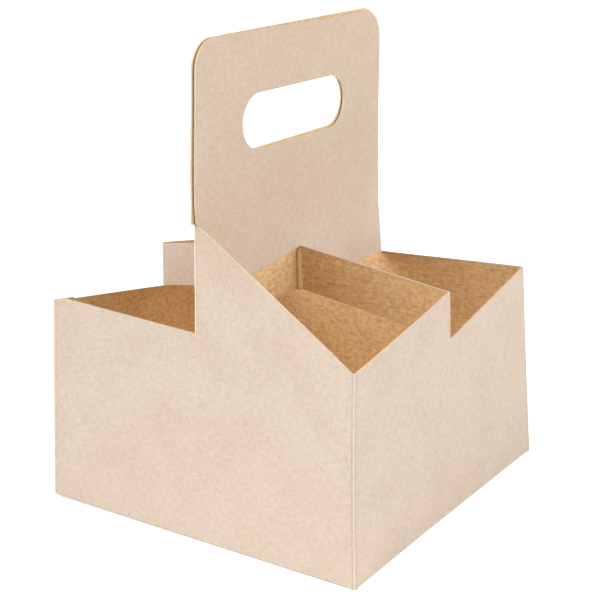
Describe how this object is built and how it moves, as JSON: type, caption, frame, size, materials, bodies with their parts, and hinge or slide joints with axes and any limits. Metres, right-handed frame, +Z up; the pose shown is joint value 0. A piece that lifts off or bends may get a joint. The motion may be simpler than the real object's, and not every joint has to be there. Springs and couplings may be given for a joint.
{
  "type": "cardboard cup carrier",
  "caption": "Folded board carrier with divided cup cells under a double handle that has a rounded hand hole.",
  "frame": {"origin": "middle of the underside, on the surface that the carrier stands on", "axes": "+Z up, +X along the side walls that carry the handle's hinges, +Y along the handle and the end walls"},
  "size_m": [0.207, 0.2094, 0.27],
  "materials": {
    "kraft_board": "matt, uncoated kraft"
  },
  "bodies": {
    "root": {"carrier": "kraft_board"}
  },
  "joints": []
}
